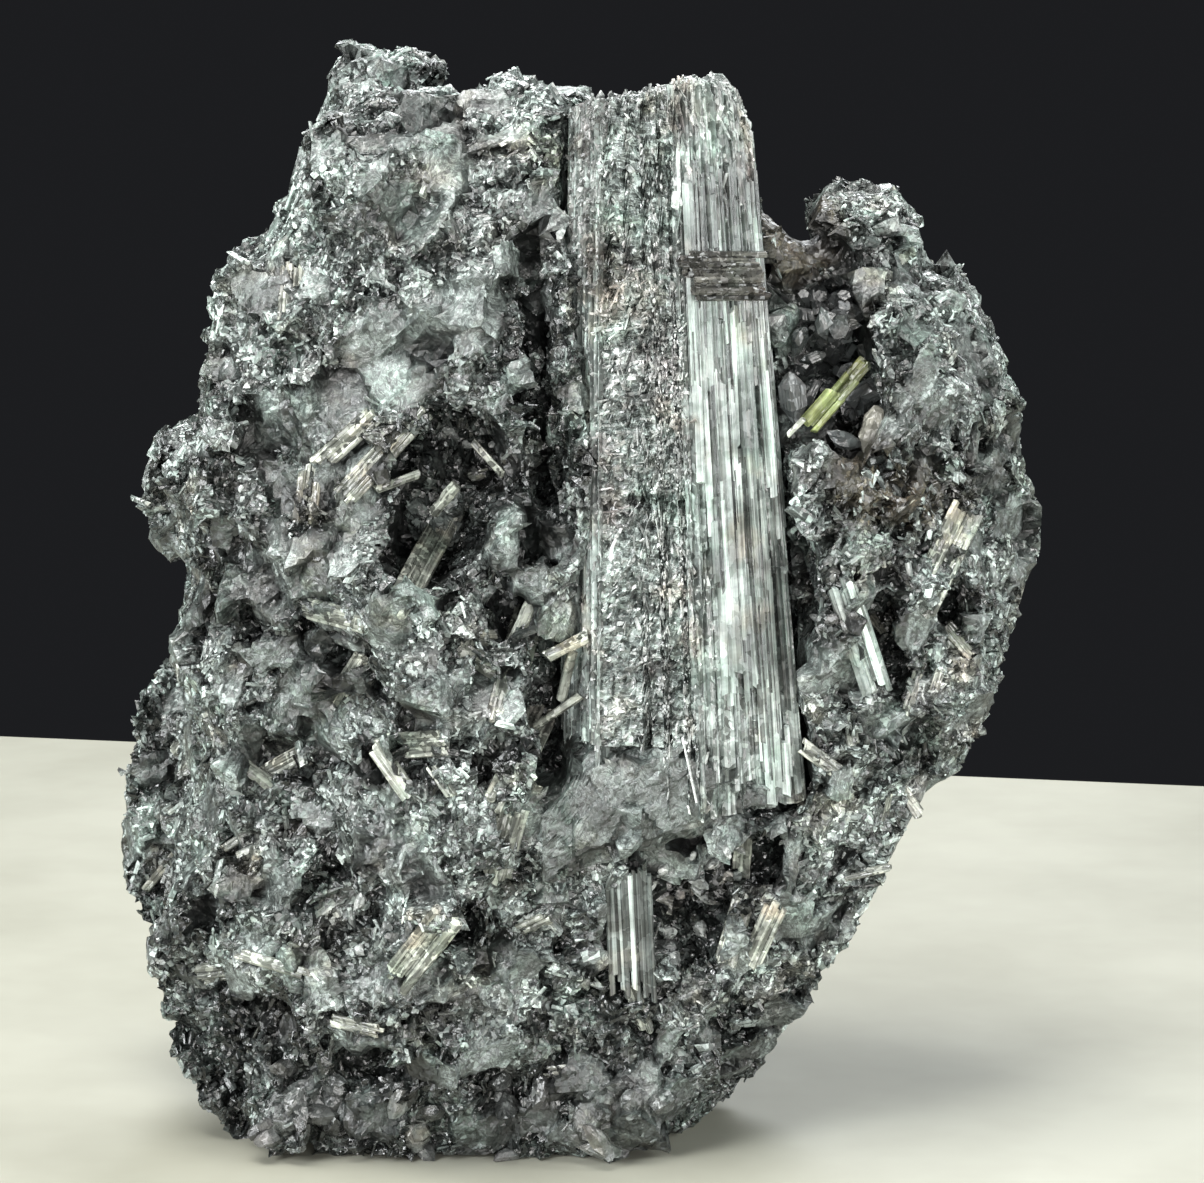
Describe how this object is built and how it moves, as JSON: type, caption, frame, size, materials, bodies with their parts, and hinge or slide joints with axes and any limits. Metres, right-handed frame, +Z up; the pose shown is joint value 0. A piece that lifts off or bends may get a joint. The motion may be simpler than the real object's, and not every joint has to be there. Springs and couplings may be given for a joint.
{
  "type": "schorl crystal cluster",
  "caption": "Hand specimen of black tourmaline: an upright striated prism set in a mass of fine intergrown crystals, resting on its broken base.",
  "frame": {"origin": "middle of the bounding box of the base, on the surface that the specimen rests on", "axes": "+Z up along the large prism, -Y out of the side that shows the large prism, +X to the right of it"},
  "size_m": [0.0498, 0.0312, 0.0578],
  "materials": {
    "grainy_schorl": "a felt of black crystal grains, each with a bright vitreous face",
    "prism_schorl": "vitreous black, striated along the prism",
    "grey_grains": "glassy dark grey grains",
    "green_schorl": "vitreous yellow green"
  },
  "bodies": {
    "root": {"schorl_mass": "grainy_schorl", "main_crystal": "prism_schorl", "cross_crystal": "prism_schorl", "lower_crystal": "prism_schorl", "right_crystal": "prism_schorl", "green_crystal": "green_schorl", "left_hollow_crystals": "grainy_schorl", "right_hollow_crystals": "grey_grains"}
  },
  "joints": []
}
